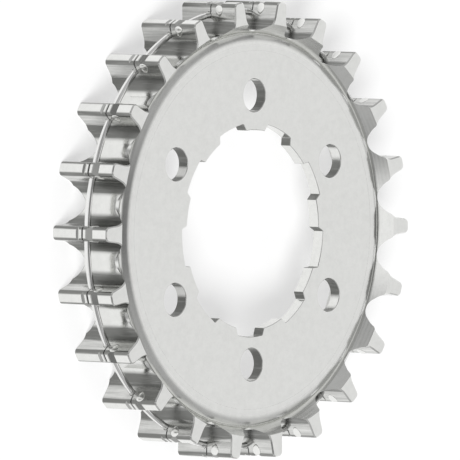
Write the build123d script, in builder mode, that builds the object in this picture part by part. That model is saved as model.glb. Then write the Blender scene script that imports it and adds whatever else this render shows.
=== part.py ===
from build123d import *
import math
import os

# Belt drive sprocket for a bicycle rear hub. It lies on the rear ends of its teeth, front face up.
# Millimetres and degrees. The origin is on the axis, at the height of the rear tooth ends.

# Belt and teeth
tooth_count = 22
belt_pitch = 11.0
crown_below_pitch = 0.62
tooth_length = 11.85
crown_width = 2.28
flank_angle = 6.0
tooth_depth = 4.9
root_fillet = 2.8
crown_corner = 0.8
end_edge_chamfer = 0.2
first_tooth_angle = 83.39

# Plate in the middle
plate_thickness = 2.0
plate_below_front = 1.34

# Turned channel between the plate and the teeth: a rounded shoulder, then a narrow floor
channel_depth = 1.36
channel_width = 1.27
channel_fillet = 0.6
shoulder_angle = 72.0
shoulder_round = 0.95

# Sloping walls that undercut the tooth ends, front and rear
tooth_end_depth = 3.85
wall_angle = 59.3
rear_wall_height = 2.3

# Bevels at both ends of each gap's floor, cut with a tilted round tool
bevel_angle = 30.0
bevel_tool_radius = 2.6
bevel_from_end = 2.7
bevel_reach = 4.0

# Rim behind the plate
rim_thickness = 2.3
rim_inner_fillet = 1.6
rim_edge_round = 0.6

# Splined bore with nine tabs
tab_count = 9
tab_tip_radius = 16.5
tab_height = 1.13
tab_tip_half_angle = 8.1
tab_root_half_angle = 10.0
tab_corner = 0.25
first_tab_angle = 90.0
bore_chamfer = 0.08

# Lightening holes
hole_count = 6
hole_radius = 2.72
hole_land = 1.85
first_hole_angle = 91.44
hole_chamfer = 0.1

# Guide ring of round wire, and the slot that it is pressed into
wire_diameter = 1.05
wire_below_crown = 1.9
wire_from_front = 5.84
wire_clearance = 0.03
seat_side_count = 8
slot_opening = 0.22
slot_ahead_of_wire = 0.45
lip_drop = 0.03
lip_chamfer = 0.1

# Relief notches beside the slot, cut into the crowns
front_notch_from_wire = 2.37
front_notch_depth = 0.65
front_notch_wall = 0.4
front_notch_ramp = 1.1
rear_notch_from_wire = 0.55
rear_notch_depth = 0.35
rear_notch_half_width = 0.3

# Worked out from the sizes above
pitch_radius = tooth_count * belt_pitch / (2 * math.pi)
crown_radius = pitch_radius - crown_below_pitch
root_radius = crown_radius - tooth_depth
pitch_angle = 360 / tooth_count
plate_top = tooth_length - plate_below_front
plate_bottom = plate_top - plate_thickness
channel_floor = plate_top - channel_depth
tooth_end_radius = crown_radius - tooth_end_depth
wall_slope = math.tan(math.radians(wall_angle))
front_wall_foot = tooth_end_radius - (tooth_length - channel_floor) / wall_slope
rear_wall_foot = tooth_end_radius - rear_wall_height / wall_slope
shoulder_foot = front_wall_foot - channel_width
shoulder_top = shoulder_foot - channel_depth / math.tan(math.radians(shoulder_angle))
rim_inner_radius = root_radius - rim_thickness
tab_root_radius = tab_tip_radius + tab_height
hole_circle_radius = tab_root_radius + hole_land + hole_radius
wire_ring_radius = crown_radius - wire_below_crown
wire_height = tooth_length - wire_from_front


def on_circle(radius, angle):
    return (radius * math.cos(math.radians(angle)), radius * math.sin(math.radians(angle)))


def distance_from_axis(shape):
    return math.hypot(shape.center().X, shape.center().Y)


# One gap between two teeth, on +X: a floor, two fillets and two sloping flanks
gap_half_angle = pitch_angle / 2 - math.degrees(math.asin(crown_width / 2 / crown_radius))
gap_flank_slope = math.tan(math.radians(flank_angle + pitch_angle / 2))
gap_mouth_x, gap_mouth_y = on_circle(crown_radius, gap_half_angle)
gap_outer_x = crown_radius + 1
gap_floor_half_width = gap_mouth_y - (gap_mouth_x - root_radius) * gap_flank_slope
gap_outer_half_width = gap_mouth_y + (gap_outer_x - gap_mouth_x) * gap_flank_slope
with BuildSketch() as tooth_gap:
    with BuildLine():
        Polyline(
            (root_radius, -gap_floor_half_width),
            (gap_outer_x, -gap_outer_half_width),
            (gap_outer_x, gap_outer_half_width),
            (root_radius, gap_floor_half_width),
            close=True,
        )
    make_face()
    fillet(tooth_gap.vertices().group_by(Axis.X)[0], root_fillet)

# Bevel tools for the gap on +X: round bars that leave the floor towards an end and towards the axis
bevel_lean = math.radians(bevel_angle)
bevel_start = Plane(
    origin=(root_radius, 0, tooth_length - bevel_from_end),
    x_dir=(0, 1, 0),
    z_dir=(-math.sin(bevel_lean), 0, math.cos(bevel_lean)),
)
with BuildPart() as bevel_tools:
    with BuildSketch(bevel_start) as bevel_tool_section:
        with Locations((0, -bevel_tool_radius)):
            Circle(bevel_tool_radius)
    extrude(amount=bevel_reach)
    mirror(about=Plane.XY.offset(tooth_length / 2))

# One gap between two bore tabs, on +X
bore_gap_tip_angle = 180 / tab_count - tab_tip_half_angle
bore_gap_root_angle = 180 / tab_count - tab_root_half_angle
with BuildSketch() as bore_gap:
    with BuildLine():
        Line(on_circle(tab_tip_radius, bore_gap_tip_angle), on_circle(tab_root_radius, bore_gap_root_angle))
        RadiusArc(
            on_circle(tab_root_radius, bore_gap_root_angle),
            on_circle(tab_root_radius, -bore_gap_root_angle),
            tab_root_radius,
        )
        Line(on_circle(tab_root_radius, -bore_gap_root_angle), on_circle(tab_tip_radius, -bore_gap_tip_angle))
        Line(on_circle(tab_tip_radius, -bore_gap_tip_angle), on_circle(tab_tip_radius, bore_gap_tip_angle))
    make_face()

# Section of the turned groove on radius and height. From the front: a notch with a steep wall and a
# ramp, the lip that covers the wire, the slot and its seat, the rear lip and a small notch.
groove_outside = crown_radius + 1
lip_radius = crown_radius - lip_drop
slot_front = wire_height + slot_ahead_of_wire + slot_opening / 2
slot_rear = slot_front - slot_opening
front_notch = wire_height + front_notch_from_wire
front_reach = 1 + 1 / front_notch_depth
rear_notch = wire_height - rear_notch_from_wire
rear_reach = rear_notch_half_width * (1 + 1 / rear_notch_depth)
with BuildSketch(Plane.XZ) as groove_section:
    with BuildLine():
        Polyline(
            (groove_outside, front_notch + front_notch_wall * front_reach),
            (crown_radius - front_notch_depth, front_notch),
            (lip_radius, front_notch - front_notch_ramp),
            (lip_radius, slot_front),
            (wire_ring_radius, slot_front),
            (wire_ring_radius, slot_rear),
            (lip_radius, slot_rear),
            (lip_radius, rear_notch + rear_notch_half_width),
            (crown_radius - rear_notch_depth, rear_notch),
            (groove_outside, rear_notch - rear_reach),
            close=True,
        )
    make_face()
    lip_corners = groove_section.vertices().filter_by(lambda v: abs(v.X - lip_radius) < 0.001)
    chamfer(lip_corners, lip_chamfer)
    with Locations((wire_ring_radius, wire_height)):
        RegularPolygon(wire_diameter / 2 + wire_clearance, seat_side_count, major_radius=False)

# Sprocket body: a turned blank, then teeth, the wire slot, the bore and the holes
with BuildPart() as sprocket_body:

    # Blank, as a half section on radius and height
    with BuildSketch(Plane.XZ) as blank_section:
        with BuildLine():
            Polyline(
                (tab_tip_radius, plate_top),
                (shoulder_top, plate_top),
                (shoulder_foot, channel_floor),
                (front_wall_foot, channel_floor),
                (tooth_end_radius, tooth_length),
                (crown_radius, tooth_length),
                (crown_radius, 0),
                (tooth_end_radius, 0),
                (rear_wall_foot, rear_wall_height),
                (rim_inner_radius, rear_wall_height),
                (rim_inner_radius, plate_bottom),
                (tab_tip_radius, plate_bottom),
                close=True,
            )
        make_face()
        fillet(blank_section.vertices().filter_by(lambda v: abs(v.X - shoulder_top) < 0.01), shoulder_round)
        fillet(blank_section.vertices().filter_by(lambda v: abs(v.X - shoulder_foot) < 0.01), channel_fillet)
        inner_corners = blank_section.vertices().filter_by(lambda v: abs(v.X - rim_inner_radius) < 0.01)
        fillet(inner_corners.group_by(Axis.Y)[0], rim_edge_round)
        fillet(inner_corners.group_by(Axis.Y)[-1], rim_inner_fillet)
    revolve(axis=Axis.Z)

    # Teeth: the gaps are milled through the rim, the crown corners rounded, the end edges broken
    # all round, and the gaps' floors bevelled
    with BuildSketch() as tooth_gaps:
        with PolarLocations(0, tooth_count, start_angle=first_tooth_angle + pitch_angle / 2):
            add(tooth_gap.sketch)
    extrude(amount=tooth_length, mode=Mode.SUBTRACT)
    crown_edges = sprocket_body.edges().filter_by(Axis.Z).filter_by(
        lambda e: distance_from_axis(e) > crown_radius - 0.01
    )
    fillet(crown_edges, crown_corner)
    tooth_end_faces = sprocket_body.faces().filter_by(Axis.Z).filter_by(
        lambda f: distance_from_axis(f) > tooth_end_radius
    )
    crown_end_edges = tooth_end_faces.edges().filter_by(
        lambda e: distance_from_axis(e) > crown_radius - crown_corner
    )
    chamfer(crown_end_edges, end_edge_chamfer)
    with PolarLocations(0, tooth_count, start_angle=first_tooth_angle + pitch_angle / 2):
        add(bevel_tools.part, mode=Mode.SUBTRACT)

    # Wire slot and its notches, turned across all the crowns
    add(groove_section.sketch)
    revolve(axis=Axis.Z, mode=Mode.SUBTRACT)

    # Bore
    with BuildSketch(Plane.XY.offset(plate_bottom)) as bore_gaps:
        with PolarLocations(0, tab_count, start_angle=first_tab_angle + 180 / tab_count):
            add(bore_gap.sketch)
    extrude(amount=plate_thickness, mode=Mode.SUBTRACT)
    tab_edges = sprocket_body.edges().filter_by(Axis.Z).filter_by(
        lambda e: distance_from_axis(e) < tab_root_radius + 0.01
    )
    fillet(tab_edges, tab_corner)

    # Lightening holes
    with Locations(Plane.XY.offset(plate_top)):
        with PolarLocations(hole_circle_radius, hole_count, start_angle=first_hole_angle):
            Hole(hole_radius, depth=plate_thickness)
    front_edges = sprocket_body.faces().filter_by(Axis.Z).filter_by(
        lambda f: abs(f.center().Z - plate_top) < 0.01
    ).edges()
    chamfer(front_edges.filter_by(lambda e: distance_from_axis(e) < tab_root_radius + 0.01), bore_chamfer)
    hole_edges = sprocket_body.edges().filter_by(GeomType.CIRCLE).filter_by(
        lambda e: abs(e.radius - hole_radius) < 0.001
    )
    chamfer(hole_edges, hole_chamfer)
sprocket_body.part.label = "sprocket_body"

# Guide ring: round wire, closed on itself
with BuildPart() as guide_ring:
    with BuildSketch(Plane.XZ) as wire_section:
        with Locations((wire_ring_radius, wire_height)):
            Circle(wire_diameter / 2)
    revolve(axis=Axis.Z)
guide_ring.part.label = "guide_ring"

os.makedirs("parts", exist_ok=True)
export_step(sprocket_body.part, "parts/sprocket_body.step")
export_step(guide_ring.part, "parts/guide_ring.step")
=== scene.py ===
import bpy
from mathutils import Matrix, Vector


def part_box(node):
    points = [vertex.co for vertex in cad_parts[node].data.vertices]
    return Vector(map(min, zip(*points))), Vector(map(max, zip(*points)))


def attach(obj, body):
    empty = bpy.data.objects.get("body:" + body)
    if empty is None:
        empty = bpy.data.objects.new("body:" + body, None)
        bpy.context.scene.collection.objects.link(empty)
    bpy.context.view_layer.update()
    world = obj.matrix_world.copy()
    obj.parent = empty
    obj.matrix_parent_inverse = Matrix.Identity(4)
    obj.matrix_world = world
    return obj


bl_info = {
    "name": "Belt Drive Sprocket",
    "version": (1, 0, 0),
    "blender": (4, 5, 0),
    "location": "3D View > Sidebar > Sprocket",
    "description": "Finishes a bicycle belt drive sprocket and sets it up in a small studio",
    "category": "Object",
}

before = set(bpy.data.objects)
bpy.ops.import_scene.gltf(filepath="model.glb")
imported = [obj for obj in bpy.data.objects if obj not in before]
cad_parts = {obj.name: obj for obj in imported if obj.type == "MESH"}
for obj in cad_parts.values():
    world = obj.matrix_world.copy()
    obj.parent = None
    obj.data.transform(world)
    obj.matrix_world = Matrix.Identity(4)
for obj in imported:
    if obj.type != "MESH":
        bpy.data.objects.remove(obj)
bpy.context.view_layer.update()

import math

import bpy
from bpy.props import FloatProperty, FloatVectorProperty, PointerProperty
from mathutils import Matrix, Vector

# Sizes in metres and angles in degrees, with the axis upwards and the rear tooth ends at height 0

BODY_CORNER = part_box("sprocket_body")[1]
CROWN_RADIUS = BODY_CORNER.x
TOOTH_LENGTH = BODY_CORNER.z
PLATE_BELOW_FRONT = 0.00134
PLATE_TOP = TOOTH_LENGTH - PLATE_BELOW_FRONT
TOOTH_COUNT = 22
FIRST_TOOTH_ANGLE = 83.39
FLANK_ANGLE = 6.0
CROWN_HALF_WIDTH = 0.00114

# Places of the painted shade in the shoulder groove and of the painted dark reflection in the notches
# across the tooth tips: heights above the floor and radii from the axis

NOTCH_INNER_RADIUS = (0.0352, 0.0354)
NOTCH_EDGE = 0.0001
CHANNEL_HEIGHTS = (PLATE_TOP - 0.0016, PLATE_TOP - 0.0002)
CHANNEL_EDGE = 0.0004
CHANNEL_FADE_IN = (0.0303, 0.0318)
CHANNEL_FADE_OUT = (0.03205, 0.0323)


# Sizes and colours that a user would change

class SteelSettings(bpy.types.PropertyGroup):
    colour: FloatVectorProperty(
        name="Steel colour", description="Colour of the bare machined steel",
        default=(0.80, 0.803, 0.785), min=0, max=1, size=3, subtype="COLOR")
    # The dark flank colour below is painted dark reflection of the surroundings; only its fine streaks
    # stand for the milled finish.
    milled_and_reflection_colour: FloatVectorProperty(
        name="Milled colour", description="Colour of the duller milled tooth flanks",
        default=(0.20, 0.202, 0.194), min=0, max=1, size=3, subtype="COLOR")
    # Below this radius the flanks get painted shade in the root crease, with a ragged edge, plus the
    # cutter's scratches as extra roughness.
    root_shade_and_scratch_band: FloatProperty(
        name="Root band radius", description="Radius below which the cutter has scratched the flanks",
        default=0.0349, precision=4, unit="LENGTH")
    # Above this radius the rounded crown corners get painted dark reflection.
    corner_reflection_band: FloatProperty(
        name="Corner band radius", description="Radius above which the rounded crown corners are duller",
        default=0.0371, precision=4, unit="LENGTH")
    # Between these two heights the notch across each tooth tip gets painted dark reflection.
    notch_low: FloatProperty(
        name="Notch bottom", description="Lower end of the duller pressed notch, above the floor",
        default=TOOTH_LENGTH - 0.0050, precision=5, unit="LENGTH")
    notch_high: FloatProperty(
        name="Notch top", description="Upper end of the duller pressed notch, above the floor",
        default=TOOTH_LENGTH - 0.0034, precision=5, unit="LENGTH")
    satin_roughness: FloatProperty(
        name="Face roughness", description="Roughness of the flat turned faces",
        default=0.30, min=0, max=1, subtype="FACTOR")
    cut_roughness: FloatProperty(
        name="Flank roughness", description="Roughness of the milled flanks and the rolled shoulder",
        default=0.14, min=0, max=1, subtype="FACTOR")
    mark_spacing: FloatProperty(
        name="Tool mark spacing", description="Distance between two turning marks",
        default=0.00022, min=0.00005, max=0.002, precision=5, unit="LENGTH")
    mark_depth: FloatProperty(
        name="Tool mark depth", description="Depth of the turning marks in the bump",
        default=0.0000035, min=0, max=0.0001, precision=7, unit="LENGTH")


class StakeSettings(bpy.types.PropertyGroup):
    length: FloatProperty(
        name="Stake length", description="Length of a staked pad along the tooth",
        default=0.0016, precision=5, unit="LENGTH")
    height: FloatProperty(
        name="Stake height", description="Height of a staked pad down the flank",
        default=0.0019, precision=5, unit="LENGTH")
    rise: FloatProperty(
        name="Stake rise", description="How far a staked pad stands out of the flank",
        default=0.0001, precision=6, unit="LENGTH")
    from_front: FloatProperty(
        name="Stake place", description="Distance from the tooth's front end to a pad's middle",
        default=0.0036, precision=5, unit="LENGTH")
    below_crown: FloatProperty(
        name="Stake depth", description="Distance from the tooth crown to a pad's upper edge",
        default=0.0003, precision=5, unit="LENGTH")


class ShoulderSettings(bpy.types.PropertyGroup):
    start_radius: FloatProperty(
        name="Shoulder start", description="Radius at which the flat plate starts to roll down",
        default=0.0300, precision=5, unit="LENGTH")
    foot_radius: FloatProperty(
        name="Shoulder foot", description="Radius at which the shoulder meets the groove under the teeth",
        default=0.03240, precision=5, unit="LENGTH")
    drop: FloatProperty(
        name="Shoulder drop", description="Depth of the groove below the flat plate",
        default=0.00136, precision=5, unit="LENGTH")


class WireSettings(bpy.types.PropertyGroup):
    colour: FloatVectorProperty(
        name="Wire colour", description="Colour of the drawn steel wire",
        default=(0.82, 0.82, 0.81), min=0, max=1, size=3, subtype="COLOR")
    roughness: FloatProperty(
        name="Wire roughness", description="Roughness of the drawn wire",
        default=0.16, min=0, max=1, subtype="FACTOR")


class StudioSettings(bpy.types.PropertyGroup):
    floor_colour: FloatVectorProperty(
        name="Floor colour", description="Colour of the plain floor",
        default=(0.93, 0.93, 0.93), min=0, max=1, size=3, subtype="COLOR")
    floor_glow: FloatProperty(
        name="Floor glow", description="Share of plain white in what the camera and the metal see",
        default=0.55, min=0, max=1, subtype="FACTOR")
    key_power: FloatProperty(
        name="Key power", description="Strength of the soft key light, in watts per square metre",
        default=3.3, min=0, max=20)
    key_side: FloatProperty(
        name="Key side", description="Where the key light stands, turned from the picture's right",
        default=math.radians(212), unit="ROTATION")
    key_height: FloatProperty(
        name="Key height", description="Angle of the key light above the floor",
        default=math.radians(42), unit="ROTATION")
    key_width: FloatProperty(
        name="Key width", description="Angle that the key light spans, seen from the sprocket",
        default=math.radians(26), unit="ROTATION")
    tilt: FloatProperty(
        name="View tilt", description="Angle between the camera's view and the sprocket's axis",
        default=math.radians(48.87), unit="ROTATION")
    turn: FloatProperty(
        name="View turn", description="Turn of the sprocket about its axis in the picture",
        default=math.radians(1.12), unit="ROTATION")
    roll: FloatProperty(
        name="View roll", description="Roll of the camera about its view",
        default=math.radians(2.32), unit="ROTATION")
    distance: FloatProperty(
        name="Camera distance", description="Distance from the camera to the sprocket",
        default=2.5, min=0.2, unit="LENGTH")
    aim_right: FloatProperty(
        name="Aim offset", description="How far the view's centre lies to the right of the axis",
        default=-0.00381, precision=5, unit="LENGTH")
    frame_width: FloatProperty(
        name="Frame width", description="Width of the picture at the sprocket",
        default=0.0758, precision=4, unit="LENGTH")


# Small helpers for shader trees

def add_node(tree, kind, **values):
    node = tree.nodes.new(kind)
    for name, value in values.items():
        if name in node.inputs:
            node.inputs[name].default_value = value
        else:
            setattr(node, name, value)
    return node


def math_node(tree, operation, first, second=None, clamp=False):
    node = tree.nodes.new("ShaderNodeMath")
    node.operation = operation
    node.use_clamp = clamp
    for socket, value in zip(node.inputs, (first, second)):
        if value is None:
            continue
        if isinstance(value, (int, float)):
            socket.default_value = value
        else:
            tree.links.new(value, socket)
    return node.outputs[0]


def vector_node(tree, operation, first, second=None, output="Vector"):
    node = tree.nodes.new("ShaderNodeVectorMath")
    node.operation = operation
    for socket, value in zip(node.inputs, (first, second)):
        if value is None:
            continue
        if isinstance(value, (tuple, Vector)):
            socket.default_value = value
        else:
            tree.links.new(value, socket)
    return node.outputs[output]


def mix_colours(tree, share, first, second):
    node = tree.nodes.new("ShaderNodeMix")
    node.data_type = "RGBA"
    tree.links.new(share, node.inputs["Factor"])
    for socket, value in ((node.inputs[6], first), (node.inputs[7], second)):
        if isinstance(value, tuple):
            socket.default_value = (*value, 1.0)
        else:
            tree.links.new(value, socket)
    return node.outputs[2]


def ramp_between(tree, value, low, high, out_low=0.0, out_high=1.0):
    node = tree.nodes.new("ShaderNodeMapRange")
    node.interpolation_type = "SMOOTHSTEP"
    tree.links.new(value, node.inputs["Value"])
    node.inputs["From Min"].default_value = low
    node.inputs["From Max"].default_value = high
    node.inputs["To Min"].default_value = out_low
    node.inputs["To Max"].default_value = out_high
    return node.outputs["Result"]


def new_group(name, inputs, outputs):
    group = bpy.data.node_groups.new(name, "ShaderNodeTree")
    for socket_name, kind, default in inputs:
        socket = group.interface.new_socket(socket_name, in_out="INPUT", socket_type=kind)
        if default is not None:
            socket.default_value = default
    for socket_name, kind in outputs:
        group.interface.new_socket(socket_name, in_out="OUTPUT", socket_type=kind)
    start = group.nodes.new("NodeGroupInput")
    end = group.nodes.new("NodeGroupOutput")
    return group, start, end


def use_group(tree, group, vector, **values):
    node = tree.nodes.new("ShaderNodeGroup")
    node.node_tree = group
    tree.links.new(vector, node.inputs["Vector"])
    for name, value in values.items():
        node.inputs[name.replace("_", " ").capitalize()].default_value = value
    return node


# Effects that several materials share

def turning_marks_group():
    """Fine rings left by a lathe tool, as a height that follows the distance from the axis."""
    group, start, end = new_group(
        "turning_marks",
        [("Vector", "NodeSocketVector", None), ("Spacing", "NodeSocketFloat", 0.0002)],
        [("Height", "NodeSocketFloat")])
    split = add_node(group, "ShaderNodeSeparateXYZ")
    group.links.new(start.outputs["Vector"], split.inputs[0])
    x_squared = math_node(group, "POWER", split.outputs["X"], 2)
    y_squared = math_node(group, "POWER", split.outputs["Y"], 2)
    radius = math_node(group, "SQRT", math_node(group, "ADD", x_squared, y_squared))
    path = math_node(group, "SUBTRACT", radius, split.outputs["Z"])
    turns = math_node(group, "DIVIDE", path, start.outputs["Spacing"])
    wave = math_node(group, "SINE", math_node(group, "MULTIPLY", turns, 2 * math.pi))
    patches_per_turn = 0.37
    drift_share = 1.5
    uneven = add_node(group, "ShaderNodeTexNoise", noise_dimensions="1D", Scale=patches_per_turn,
                      Detail=3.0)
    group.links.new(turns, uneven.inputs["W"])
    shaped = math_node(group, "MULTIPLY", wave, uneven.outputs["Fac"])
    drift = math_node(group, "MULTIPLY", uneven.outputs["Fac"], drift_share)
    group.links.new(math_node(group, "ADD", shaped, drift), end.inputs["Height"])
    return group


def handling_haze_group():
    """Uneven sheen from handling and cleaning, as a roughness that drifts about its middle value."""
    group, start, end = new_group(
        "handling_haze",
        [("Vector", "NodeSocketVector", None), ("Middle", "NodeSocketFloat", 0.2),
         ("Spread", "NodeSocketFloat", 0.03), ("Patch scale", "NodeSocketFloat", 120.0)],
        [("Roughness", "NodeSocketFloat")])
    noise = add_node(group, "ShaderNodeTexNoise", Detail=5.0, Roughness=0.6)
    group.links.new(start.outputs["Vector"], noise.inputs["Vector"])
    group.links.new(start.outputs["Patch scale"], noise.inputs["Scale"])
    centred = math_node(group, "SUBTRACT", noise.outputs["Fac"], 0.5)
    shift = math_node(group, "MULTIPLY", centred, start.outputs["Spread"])
    doubled = math_node(group, "MULTIPLY", shift, 2.0)
    group.links.new(math_node(group, "ADD", start.outputs["Middle"], doubled), end.inputs["Roughness"])
    return group


def flank_share_group():
    """Share of milled flank, on upright faces that run outwards from the axis, and the radius."""
    flatten = (1, 1, 0)
    runs_outwards = (0.86, 0.993)
    stands_upright = (0.75, 0.97)
    group, start, end = new_group(
        "flank_share",
        [("Vector", "NodeSocketVector", None), ("Normal", "NodeSocketVector", None)],
        [("Share", "NodeSocketFloat"), ("Radius", "NodeSocketFloat")])
    outward = vector_node(group, "MULTIPLY", start.outputs["Vector"], flatten)
    radius = vector_node(group, "LENGTH", outward, output="Value")
    direction = vector_node(group, "NORMALIZE", outward)
    level = vector_node(group, "MULTIPLY", start.outputs["Normal"], flatten)
    upright = vector_node(group, "LENGTH", level, output="Value")
    sideways_normal = vector_node(group, "NORMALIZE", level)
    facing_out = math_node(group, "ABSOLUTE",
                           vector_node(group, "DOT_PRODUCT", direction, sideways_normal, "Value"))
    sideways = ramp_between(group, facing_out, *runs_outwards, 1.0, 0.0)
    steep = ramp_between(group, upright, *stands_upright)
    group.links.new(math_node(group, "MULTIPLY", sideways, steep), end.inputs["Share"])
    group.links.new(radius, end.inputs["Radius"])
    return group


def axial_streaks_group():
    """Fine streaks along the axis, left by the cutter, between 0 and 1."""
    stretch = (1, 1, 0.06)
    contrast = (0.3, 0.7)
    group, start, end = new_group(
        "axial_streaks",
        [("Vector", "NodeSocketVector", None), ("Fineness", "NodeSocketFloat", 1500.0)],
        [("Streak", "NodeSocketFloat")])
    stretched = vector_node(group, "MULTIPLY", start.outputs["Vector"], stretch)
    noise = add_node(group, "ShaderNodeTexNoise", Detail=6.0, Roughness=0.65)
    group.links.new(stretched, noise.inputs["Vector"])
    group.links.new(start.outputs["Fineness"], noise.inputs["Scale"])
    group.links.new(ramp_between(group, noise.outputs["Fac"], *contrast), end.inputs["Streak"])
    return group


def shared_group(name):
    """The named effect group, built the first time that it is asked for."""
    builders = {"turning_marks": turning_marks_group, "handling_haze": handling_haze_group,
                "flank_share": flank_share_group, "axial_streaks": axial_streaks_group}
    return bpy.data.node_groups.get(name) or builders[name]()


# Materials

def metal_material(name, colour):
    """A bare metal with one colour, its shader, and the node that gives places on the object."""
    material = bpy.data.materials.new(name)
    material.use_nodes = True
    tree = material.node_tree
    shader = tree.nodes["Principled BSDF"]
    shader.inputs["Metallic"].default_value = 1.0
    shader.inputs["Base Color"].default_value = (*colour, 1.0)
    place = add_node(tree, "ShaderNodeTexCoord")
    return material, tree, shader, place


def band_mask(tree, value, low, high, edge):
    """1 between two values and 0 outside them, over an edge of the given width."""
    rise = ramp_between(tree, value, low - edge / 2, low + edge / 2)
    fall = ramp_between(tree, value, high - edge / 2, high + edge / 2, 1.0, 0.0)
    return math_node(tree, "MULTIPLY", rise, fall)


def streak_and_painted_dark_share(tree, settings, flank, streaks):
    """Share of the dark flank colour: painted dark reflection over each flank and on the crown corners,
    painted shade in the root crease, and the milled streaks.
    """
    # The plain and banded shares are painted dark reflection over the whole flank and on the crown
    # corners, and painted shade in the root crease; the streaked share is the real milled streaks.
    plain_flank = 0.12
    streaked_flank = 0.4
    banded_flank = 0.7
    fray_width = 0.0006
    root_fade = (settings.root_shade_and_scratch_band - 0.0002, settings.root_shade_and_scratch_band + 0.0003)
    corner_fade = (settings.corner_reflection_band, settings.corner_reflection_band + 0.0003)

    streak = streaks.outputs["Streak"]
    radius = flank.outputs["Radius"]
    ragged = math_node(tree, "MULTIPLY", math_node(tree, "SUBTRACT", streak, 0.5), fray_width)
    frayed = math_node(tree, "ADD", radius, ragged)
    root = ramp_between(tree, frayed, *root_fade, banded_flank, 0.0)
    corner = ramp_between(tree, radius, *corner_fade, 0.0, banded_flank)
    uneven = math_node(tree, "MULTIPLY", streak, streaked_flank)
    strength = math_node(tree, "ADD", math_node(tree, "ADD", plain_flank, uneven),
                         math_node(tree, "ADD", root, corner))
    milled = math_node(tree, "MULTIPLY", flank.outputs["Share"], strength, clamp=True)
    scratched_root = math_node(tree, "MULTIPLY", root, flank.outputs["Share"])
    return milled, scratched_root


def notch_painted_reflection(tree, settings, height, radius, turned):
    """Share of painted dark reflection in the notch across each tooth tip, where the lips are pressed."""
    band = band_mask(tree, height, settings.notch_low, settings.notch_high, NOTCH_EDGE)
    outer = ramp_between(tree, radius, *NOTCH_INNER_RADIUS)
    return math_node(tree, "MULTIPLY", math_node(tree, "MULTIPLY", band, outer), turned)


def channel_painted_shade(tree, height, radius, turned):
    """Share of painted shade on the rolled shoulder, which grows towards the groove under the teeth."""
    band = math_node(tree, "MULTIPLY", band_mask(tree, height, *CHANNEL_HEIGHTS, CHANNEL_EDGE), turned)
    inner = ramp_between(tree, radius, *CHANNEL_FADE_IN)
    outer = ramp_between(tree, radius, *CHANNEL_FADE_OUT, 1.0, 0.0)
    return math_node(tree, "MULTIPLY", band, math_node(tree, "MULTIPLY", inner, outer))


def clouded_colour(tree, settings, position):
    """The steel's colour with a fine cloudy unevenness."""
    cloud_dimming = 0.93
    cloud_contrast = (0.3, 0.75)
    mottle = add_node(tree, "ShaderNodeTexNoise", Scale=900.0, Detail=7.0, Roughness=0.7)
    tree.links.new(position, mottle.inputs["Vector"])
    cloudy = ramp_between(tree, mottle.outputs["Fac"], *cloud_contrast)
    dimmed = tuple(cloud_dimming * part for part in settings.colour)
    return mix_colours(tree, cloudy, tuple(settings.colour), dimmed)


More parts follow.
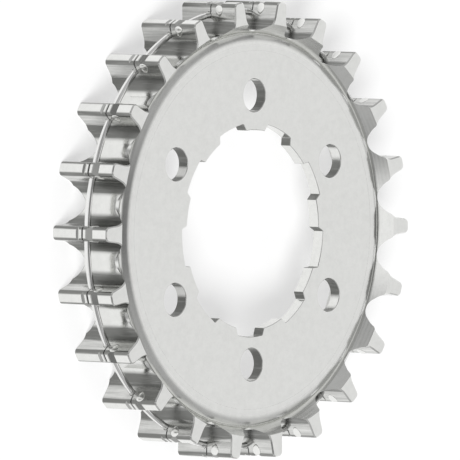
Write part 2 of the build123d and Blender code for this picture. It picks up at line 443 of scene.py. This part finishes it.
def turned_steel(settings):
    """Machined steel: satin turned faces, bright crowns and valleys, streaked flanks darkened by painted
    reflection and painted shade at their roots, painted shade in the shoulder groove and painted
    reflection in the tip notches.
    """
    flat_facing = (0.975, 0.998)
    turned_facing = (0.06, 0.30)
    streak_fineness = 1500.0
    channel_shade_strength = 0.18
    notch_reflection_strength = 0.80
    root_scratching = 0.3
    channel_scratching = 0.12
    haze_spread = 0.03

    material, tree, shader, place = metal_material("turned_steel", settings.colour)
    position = place.outputs["Object"]
    facing = add_node(tree, "ShaderNodeSeparateXYZ")
    tree.links.new(place.outputs["Normal"], facing.inputs[0])
    level = math_node(tree, "ABSOLUTE", facing.outputs["Z"])
    flat_face = ramp_between(tree, level, *flat_facing)
    turned = ramp_between(tree, level, *turned_facing)
    height = add_node(tree, "ShaderNodeSeparateXYZ")
    tree.links.new(position, height.inputs[0])

    flank = use_group(tree, shared_group("flank_share"), position)
    tree.links.new(place.outputs["Normal"], flank.inputs["Normal"])
    streaks = use_group(tree, shared_group("axial_streaks"), position, fineness=streak_fineness)
    # This share carries the milled streaks, painted dark reflection on the flanks and painted shade in the
    # root crease.
    milled, scratched_root = streak_and_painted_dark_share(tree, settings, flank, streaks)
    # Painted dark reflection in the notch across each tooth tip.
    pressed = notch_painted_reflection(tree, settings, height.outputs["Z"], flank.outputs["Radius"], turned)
    channel = channel_painted_shade(tree, height.outputs["Z"], flank.outputs["Radius"], turned)
    # Painted shade in the shoulder groove and painted dark reflection in the tip notches join the flank
    # share here, so the dark colour mixed in below is painted there.
    painted_dark = math_node(tree, "MAXIMUM", math_node(tree, "MULTIPLY", channel, channel_shade_strength),
                     math_node(tree, "MULTIPLY", pressed, notch_reflection_strength))
    milled = math_node(tree, "MAXIMUM", milled, painted_dark)
    bright = clouded_colour(tree, settings, position)
    colour = mix_colours(tree, milled, bright, tuple(settings.milled_and_reflection_colour))
    tree.links.new(colour, shader.inputs["Base Color"])

    haze = shared_group("handling_haze")
    satin = use_group(tree, haze, position, middle=settings.satin_roughness, spread=haze_spread,
                      patch_scale=140.0)
    smooth = use_group(tree, haze, position, middle=settings.cut_roughness, spread=haze_spread,
                       patch_scale=260.0)
    difference = math_node(tree, "SUBTRACT", satin.outputs["Roughness"], smooth.outputs["Roughness"])
    share = math_node(tree, "MULTIPLY", difference, flat_face)
    roughness = math_node(tree, "ADD", smooth.outputs["Roughness"], share)
    scratched = math_node(tree, "ADD", math_node(tree, "MULTIPLY", scratched_root, root_scratching),
                          math_node(tree, "MULTIPLY", channel, channel_scratching))
    tree.links.new(math_node(tree, "ADD", roughness, scratched), shader.inputs["Roughness"])

    rings = use_group(tree, shared_group("turning_marks"), position, spacing=settings.mark_spacing)
    ring_height = math_node(tree, "MULTIPLY", rings.outputs["Height"], turned)
    streak_height = math_node(tree, "MULTIPLY", streaks.outputs["Streak"], milled)
    bump = add_node(tree, "ShaderNodeBump", Strength=1.0, Distance=settings.mark_depth)
    tree.links.new(math_node(tree, "ADD", ring_height, streak_height), bump.inputs["Height"])
    tree.links.new(bump.outputs["Normal"], shader.inputs["Normal"])
    return material


def pressed_steel(settings):
    """Steel that a staking punch has smeared bright."""
    material, tree, shader, place = metal_material("pressed_steel", settings.colour)
    sheen = use_group(tree, shared_group("handling_haze"), place.outputs["Object"],
                      middle=settings.cut_roughness, spread=0.05, patch_scale=900.0)
    tree.links.new(sheen.outputs["Roughness"], shader.inputs["Roughness"])
    return material


def drawn_wire(settings):
    """Bright drawn wire with a faint lengthwise unevenness."""
    material, tree, shader, place = metal_material("drawn_wire", settings.colour)
    sheen = use_group(tree, shared_group("handling_haze"), place.outputs["Object"],
                      middle=settings.roughness, spread=0.05, patch_scale=400.0)
    tree.links.new(sheen.outputs["Roughness"], shader.inputs["Roughness"])
    return material


def set_material(node_name, material):
    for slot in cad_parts[node_name].material_slots:
        slot.material = material


# Operators, one for each piece or group of pieces and one for the studio

class SPROCKET_OT_finish_body(bpy.types.Operator):
    """Gives the sprocket body its machined steel finish"""
    bl_idname = "sprocket.finish_body"
    bl_label = "Finish Sprocket Body"

    def execute(self, context):
        set_material("sprocket_body", turned_steel(context.scene.sprocket_steel))
        return {"FINISHED"}


class SPROCKET_OT_finish_ring(bpy.types.Operator):
    """Gives the wire guide ring its bright drawn finish"""
    bl_idname = "sprocket.finish_ring"
    bl_label = "Finish Guide Ring"

    def execute(self, context):
        set_material("guide_ring", drawn_wire(context.scene.sprocket_wire))
        return {"FINISHED"}


class SPROCKET_OT_add_stakes(bpy.types.Operator):
    """Adds the staked pads that hold the wire, one on each flank of each tooth"""
    bl_idname = "sprocket.add_stakes"
    bl_label = "Add Staked Pads"

    def execute(self, context):
        settings = context.scene.sprocket_stakes
        material = pressed_steel(context.scene.sprocket_steel)
        carrier = bpy.data.objects.new("stake_carrier", bpy.data.meshes.new("stake_carrier"))
        context.scene.collection.objects.link(carrier)
        tree = stake_tree(material)
        modifier = carrier.modifiers.new("stakes", "NODES")
        modifier.node_group = tree
        middle_radius = CROWN_RADIUS - settings.below_crown - settings.height / 2
        slope = math.tan(math.radians(FLANK_ANGLE))
        sizes = {
            "Teeth": TOOTH_COUNT,
            "First angle": math.radians(FIRST_TOOTH_ANGLE),
            "Half length": settings.length / 2,
            "Half height": settings.height / 2,
            "Rise": settings.rise,
            "Middle radius": middle_radius,
            "Middle offset": CROWN_HALF_WIDTH + (CROWN_RADIUS - middle_radius) * slope,
            "Middle height": TOOTH_LENGTH - settings.from_front,
            "Flank slope": slope,
        }
        for item in tree.interface.items_tree:
            if item.in_out == "INPUT" and item.name in sizes:
                modifier[item.identifier] = sizes[item.name]
        stakes = plain_copy(context, carrier, "staked_pads")
        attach(stakes, "root")
        return {"FINISHED"}


class SPROCKET_OT_add_shoulder(bpy.types.Operator):
    """Adds the soft rolled shoulder between the flat plate and the groove under the teeth"""
    bl_idname = "sprocket.add_shoulder"
    bl_label = "Add Shoulder"

    def execute(self, context):
        outline, closing = shoulder_section(context.scene.sprocket_shoulder)
        shoulder = turned_ring(context, "rolled_shoulder", outline, closing)
        shoulder.data.materials.append(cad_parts["sprocket_body"].material_slots[0].material)
        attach(shoulder, "root")
        return {"FINISHED"}


class SPROCKET_OT_set_studio(bpy.types.Operator):
    """Adds the floor, the lights and the camera at the picture's viewing angle"""
    bl_idname = "sprocket.set_studio"
    bl_label = "Set Studio"

    def execute(self, context):
        settings = context.scene.sprocket_studio
        view = view_axes(settings)
        add_floor(settings)
        light_world(context.scene, view)
        add_key_light(settings)
        add_camera(context.scene, settings, view)
        context.scene.view_settings.view_transform = "Standard"
        return {"FINISHED"}


# Staked pads

def stake_tree(material):
    """A tree that sets a smooth, tapering pad on both flanks of every tooth."""
    widening = 0.3
    tree = bpy.data.node_groups.new("staked_pads", "GeometryNodeTree")
    tree.interface.new_socket("Teeth", in_out="INPUT", socket_type="NodeSocketInt")
    for name in ("First angle", "Half length", "Half height", "Rise", "Middle radius",
                 "Middle offset", "Middle height", "Flank slope"):
        tree.interface.new_socket(name, in_out="INPUT", socket_type="NodeSocketFloat")
    tree.interface.new_socket("Geometry", in_out="OUTPUT", socket_type="NodeSocketGeometry")
    start = tree.nodes.new("NodeGroupInput")
    end = tree.nodes.new("NodeGroupOutput")

    ball = add_node(tree, "GeometryNodeMeshUVSphere", Segments=20, Rings=10, Radius=1.0)
    place = tree.nodes.new("GeometryNodeInputPosition")
    split = tree.nodes.new("ShaderNodeSeparateXYZ")
    tree.links.new(place.outputs[0], split.inputs[0])
    taper = math_node(tree, "ADD", 1.0, math_node(tree, "MULTIPLY", split.outputs["Y"], widening))
    along = math_node(tree, "MULTIPLY", split.outputs["X"], start.outputs["Half length"])
    down = math_node(tree, "MULTIPLY", split.outputs["Y"], start.outputs["Half height"])
    out = math_node(tree, "MULTIPLY", split.outputs["Z"], start.outputs["Rise"])
    slope = math_node(tree, "MULTIPLY", down, start.outputs["Flank slope"])
    shaped = tree.nodes.new("ShaderNodeCombineXYZ")
    tree.links.new(math_node(tree, "ADD", start.outputs["Middle radius"], down), shaped.inputs["X"])
    tree.links.new(math_node(tree, "ADD", start.outputs["Middle offset"],
                             math_node(tree, "SUBTRACT", out, slope)), shaped.inputs["Y"])
    tree.links.new(math_node(tree, "MULTIPLY", along, taper), shaped.inputs["Z"])
    shape = tree.nodes.new("GeometryNodeSetPosition")
    tree.links.new(ball.outputs["Mesh"], shape.inputs["Geometry"])
    tree.links.new(shaped.outputs[0], shape.inputs["Position"])

    spots = tree.nodes.new("GeometryNodeMeshLine")
    spots.mode = "OFFSET"
    tree.links.new(math_node(tree, "MULTIPLY", start.outputs["Teeth"], 2), spots.inputs["Count"])
    height = tree.nodes.new("ShaderNodeCombineXYZ")
    tree.links.new(start.outputs["Middle height"], height.inputs["Z"])
    tree.links.new(height.outputs[0], spots.inputs["Start Location"])
    spots.inputs["Offset"].default_value = (0, 0, 0)

    index = tree.nodes.new("GeometryNodeInputIndex")
    side = math_node(tree, "MODULO", index.outputs[0], 2)
    tooth = math_node(tree, "FLOOR", math_node(tree, "DIVIDE", index.outputs[0], 2))
    step = math_node(tree, "DIVIDE", 2 * math.pi, start.outputs["Teeth"])
    turn = tree.nodes.new("ShaderNodeCombineXYZ")
    tree.links.new(math_node(tree, "MULTIPLY", side, math.pi), turn.inputs["X"])
    tree.links.new(math_node(tree, "ADD", start.outputs["First angle"],
                             math_node(tree, "MULTIPLY", tooth, step)), turn.inputs["Z"])
    copies = tree.nodes.new("GeometryNodeInstanceOnPoints")
    tree.links.new(spots.outputs["Mesh"], copies.inputs["Points"])
    tree.links.new(shape.outputs["Geometry"], copies.inputs["Instance"])
    tree.links.new(turn.outputs[0], copies.inputs["Rotation"])
    real = tree.nodes.new("GeometryNodeRealizeInstances")
    tree.links.new(copies.outputs["Instances"], real.inputs["Geometry"])
    smooth = tree.nodes.new("GeometryNodeSetShadeSmooth")
    tree.links.new(real.outputs["Geometry"], smooth.inputs["Geometry"])
    finish = tree.nodes.new("GeometryNodeSetMaterial")
    finish.inputs["Material"].default_value = material
    tree.links.new(smooth.outputs["Geometry"], finish.inputs["Geometry"])
    tree.links.new(finish.outputs["Geometry"], end.inputs["Geometry"])
    return tree


def plain_copy(context, carrier, name):
    """The carrier's finished geometry as a plain mesh object; the carrier goes."""
    evaluated = carrier.evaluated_get(context.evaluated_depsgraph_get())
    mesh = bpy.data.meshes.new_from_object(evaluated)
    mesh.name = name
    piece = bpy.data.objects.new(name, mesh)
    context.scene.collection.objects.link(piece)
    bpy.data.objects.remove(carrier)
    return piece


# Rolled shoulder

def shoulder_section(settings):
    """The shoulder's outline from a flat collar outwards, and the points that close it in the metal.

    The outline rolls down along a quarter of an ellipse. The narrow first strip keeps the shading of
    the collar flat up to its edge, which stands a hair above the plate.
    """
    steps = 24
    collar_width = 0.0004
    strip_width = 0.00002
    proud = 0.000004
    sunk = 0.00008

    reach = settings.foot_radius - settings.start_radius
    collar_radius = settings.start_radius - collar_width
    top = PLATE_TOP + proud
    outline = [(collar_radius, top), (collar_radius + strip_width, top)]
    for step in range(steps + 1):
        angle = math.pi / 2 * step / steps
        outline.append((settings.start_radius + reach * math.sin(angle),
                        top - settings.drop * (1 - math.cos(angle))))
    bottom = PLATE_TOP - settings.drop - sunk
    closing = [(settings.foot_radius, bottom), (settings.start_radius + reach / 2, bottom),
               (collar_radius, PLATE_TOP - sunk)]
    return outline, closing


def turned_ring(context, name, outline, closing):
    """A closed ring turned about the axis, shaded smooth along its outline and flat where it closes."""
    segments = 264
    section = outline + closing
    count = len(section)
    points = []
    faces = []
    smooth = []
    for turn in range(segments):
        angle = 2 * math.pi * turn / segments
        points += [(radius * math.cos(angle), radius * math.sin(angle), height)
                   for radius, height in section]
        here = turn * count
        there = (turn + 1) % segments * count
        for index in range(count):
            following = (index + 1) % count
            faces.append((here + index, here + following, there + following, there + index))
            smooth.append(index < len(outline) - 1)
    mesh = bpy.data.meshes.new(name)
    mesh.from_pydata(points, [], faces)
    mesh.polygons.foreach_set("use_smooth", smooth)
    ring = bpy.data.objects.new(name, mesh)
    context.scene.collection.objects.link(ring)
    return ring


# Studio

def view_axes(settings):
    """Right, up and backward directions of the camera, from the view's tilt, turn and roll."""
    across = Vector((math.cos(settings.turn), -math.sin(settings.turn), 0))
    along = Vector((math.sin(settings.turn), math.cos(settings.turn), 0))
    axis = Vector((0, 0, 1))
    backward = math.cos(settings.tilt) * axis - math.sin(settings.tilt) * across
    level = math.cos(settings.tilt) * across + math.sin(settings.tilt) * axis
    right = math.cos(settings.roll) * level + math.sin(settings.roll) * along
    up = math.cos(settings.roll) * along - math.sin(settings.roll) * level
    return right, up, backward


def add_floor(settings):
    """A wide plain floor, with a material that keeps part of the sprocket's shadow."""
    half_width = 6.0
    corners = [(side * half_width, end * half_width, 0)
               for side, end in ((-1, -1), (1, -1), (1, 1), (-1, 1))]
    mesh = bpy.data.meshes.new("floor")
    mesh.from_pydata(corners, [], [(0, 1, 2, 3)])
    floor = bpy.data.objects.new("floor", mesh)
    bpy.context.scene.collection.objects.link(floor)
    material = bpy.data.materials.new("floor_paper")
    material.use_nodes = True
    shader = material.node_tree.nodes["Principled BSDF"]
    shader.inputs["Base Color"].default_value = (*settings.floor_colour, 1.0)
    shader.inputs["Roughness"].default_value = 1.0
    shader.inputs["Specular IOR Level"].default_value = 0.0
    mesh.materials.append(material)
    show_pale(material.node_tree, shader, settings.floor_glow)


def show_pale(tree, shader, share):
    """Mixes white into what the camera, metal and glass see, and keeps part of the shadow."""
    rays = tree.nodes.new("ShaderNodeLightPath")
    seen = math_node(tree, "ADD", rays.outputs["Is Camera Ray"], rays.outputs["Is Glossy Ray"], clamp=True)
    seen = math_node(tree, "ADD", seen, rays.outputs["Is Transmission Ray"], clamp=True)
    glow = add_node(tree, "ShaderNodeEmission", Strength=1.0)
    mix = tree.nodes.new("ShaderNodeMixShader")
    tree.links.new(math_node(tree, "MULTIPLY", seen, share), mix.inputs[0])
    tree.links.new(shader.outputs[0], mix.inputs[1])
    tree.links.new(glow.outputs[0], mix.inputs[2])
    tree.links.new(mix.outputs[0], tree.nodes["Material Output"].inputs["Surface"])


def light_world(scene, view):
    """A soft grey room: a light bank beyond the sprocket, a low one at its left, and dimmer sides.

    A patch is its middle, the angle from there at which it begins, the angle at which it is full,
    and its brightness. The first one runs outwards, and is the band along the horizon.
    """
    room_brightness = 0.22
    backward = view[2]
    axis = Vector((0, 0, 1))
    across = (axis * backward.dot(axis) - backward).normalized()
    sideways = axis.cross(across)
    far_bank = 2 * backward.dot(axis) * axis - backward
    low_bank = (0.34 * axis - 0.94 * across).normalized()
    side_bank = (0.32 * axis + 0.75 * across - 0.58 * sideways).normalized()
    wings = [(0.71 * axis + side * 0.70 * sideways).normalized() for side in (1, -1)]
    patches = [
        (axis, 58, 80, 0.50),
        (wings[0], 40, 16, 0.52),
        (wings[1], 40, 16, 0.52),
        (across, 50, 20, 0.34),
        (far_bank, 38, 22, 0.93),
        (side_bank, 30, 8, 0.62),
        (backward, 30, 12, 0.14),
        (low_bank, 40, 12, 1.00),
    ]
    world = bpy.data.worlds.new("studio")
    scene.world = world
    world.use_nodes = True
    tree = world.node_tree
    background = tree.nodes["Background"]
    direction = add_node(tree, "ShaderNodeTexCoord")
    level = math_node(tree, "ADD", room_brightness, 0.0)
    for centre, start, full, brightness in patches:
        nearness = vector_node(tree, "DOT_PRODUCT", direction.outputs["Generated"], centre, "Value")
        share = ramp_between(tree, nearness, math.cos(math.radians(start)), math.cos(math.radians(full)))
        change = math_node(tree, "MULTIPLY", share, math_node(tree, "SUBTRACT", brightness, level))
        level = math_node(tree, "ADD", level, change)
    tree.links.new(level, background.inputs["Color"])
    background.inputs["Strength"].default_value = 1.0


def add_key_light(settings):
    """A soft key light that casts the shadow and isn't mirrored in the metal."""
    side = settings.key_side - settings.turn
    low = math.cos(settings.key_height)
    towards = Vector((low * math.cos(side), low * math.sin(side), math.sin(settings.key_height)))
    light = bpy.data.lights.new("key", "SUN")
    light.energy = settings.key_power
    light.angle = settings.key_width
    lamp = bpy.data.objects.new("key", light)
    lamp.rotation_euler = towards.to_track_quat("Z", "Y").to_euler()
    lamp.visible_glossy = False
    bpy.context.scene.collection.objects.link(lamp)


def add_camera(scene, settings, view):
    """A long lens that looks at the plate, a little beside the axis."""
    right, up, backward = view
    aim = Vector((0, 0, PLATE_TOP)) + settings.aim_right * right
    place = aim + settings.distance * backward
    data = bpy.data.cameras.new("camera")
    data.sensor_width = 36.0
    data.lens = data.sensor_width * settings.distance / settings.frame_width
    data.clip_end = 20.0
    camera = bpy.data.objects.new("camera", data)
    turn = Matrix((right, up, backward)).transposed().to_4x4()
    camera.matrix_world = Matrix.Translation(place) @ turn
    scene.collection.objects.link(camera)
    scene.camera = camera


# Sidebar panel

class SPROCKET_PT_panel(bpy.types.Panel):
    bl_label = "Belt Drive Sprocket"
    bl_idname = "SPROCKET_PT_panel"
    bl_space_type = "VIEW_3D"
    bl_region_type = "UI"
    bl_category = "Sprocket"

    def draw(self, context):
        sections = (
            ("Body", context.scene.sprocket_steel, "sprocket.finish_body"),
            ("Guide ring", context.scene.sprocket_wire, "sprocket.finish_ring"),
            ("Staked pads", context.scene.sprocket_stakes, "sprocket.add_stakes"),
            ("Shoulder", context.scene.sprocket_shoulder, "sprocket.add_shoulder"),
            ("Studio", context.scene.sprocket_studio, "sprocket.set_studio"),
        )
        for title, group, operator in sections:
            box = self.layout.box()
            box.label(text=title)
            for name in group.bl_rna.properties.keys():
                if name not in {"rna_type", "name"}:
                    box.prop(group, name)
            box.operator(operator)


CLASSES = (
    SteelSettings, StakeSettings, ShoulderSettings, WireSettings, StudioSettings,
    SPROCKET_OT_finish_body, SPROCKET_OT_finish_ring, SPROCKET_OT_add_stakes,
    SPROCKET_OT_add_shoulder, SPROCKET_OT_set_studio,
    SPROCKET_PT_panel,
)


def register():
    for cls in CLASSES:
        bpy.utils.register_class(cls)
    bpy.types.Scene.sprocket_steel = PointerProperty(type=SteelSettings)
    bpy.types.Scene.sprocket_stakes = PointerProperty(type=StakeSettings)
    bpy.types.Scene.sprocket_shoulder = PointerProperty(type=ShoulderSettings)
    bpy.types.Scene.sprocket_wire = PointerProperty(type=WireSettings)
    bpy.types.Scene.sprocket_studio = PointerProperty(type=StudioSettings)


def unregister():
    del bpy.types.Scene.sprocket_studio
    del bpy.types.Scene.sprocket_wire
    del bpy.types.Scene.sprocket_shoulder
    del bpy.types.Scene.sprocket_stakes
    del bpy.types.Scene.sprocket_steel
    for cls in reversed(CLASSES):
        bpy.utils.unregister_class(cls)


def main():
    register()
    bpy.ops.sprocket.finish_body()
    bpy.ops.sprocket.finish_ring()
    bpy.ops.sprocket.add_stakes()
    bpy.ops.sprocket.add_shoulder()
    bpy.ops.sprocket.set_studio()


if __name__ == "__main__":
    main()
